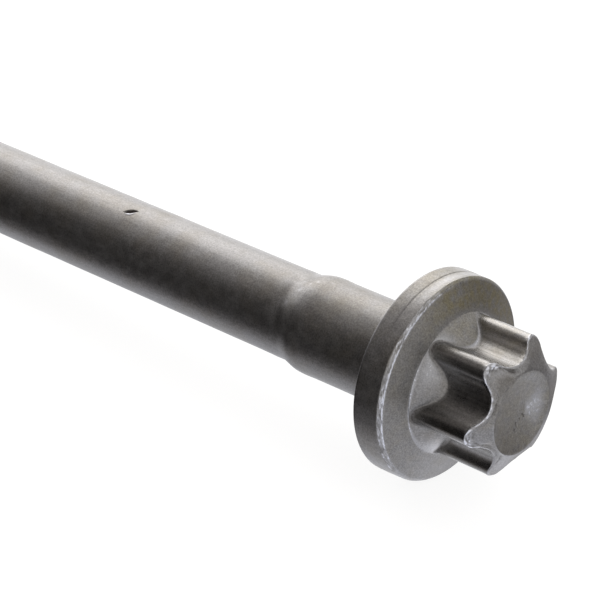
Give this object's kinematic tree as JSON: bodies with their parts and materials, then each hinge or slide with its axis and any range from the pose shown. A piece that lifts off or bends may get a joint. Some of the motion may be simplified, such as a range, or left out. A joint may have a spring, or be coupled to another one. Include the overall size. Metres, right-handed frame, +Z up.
{
  "type": "cylinder head bolt",
  "caption": "Flanged engine bolt with an external lobed drive, a guide collar, a reduced shank and a threaded end; clamps a cylinder head to its block.",
  "frame": {"origin": "centre of the bounding box's bottom face, on the surface that the bolt lies on", "axes": "+X along the surface towards the drive, +Z up; the bolt's own axis lies in the XZ plane and rises towards the drive by 2.442 degrees"},
  "size_m": [0.1646, 0.0246, 0.0248],
  "materials": {
    "phosphated_steel": "dark grey phosphate coating over forged and rolled steel, satin"
  },
  "bodies": {
    "root": {"head_bolt": "phosphated_steel"}
  },
  "joints": []
}
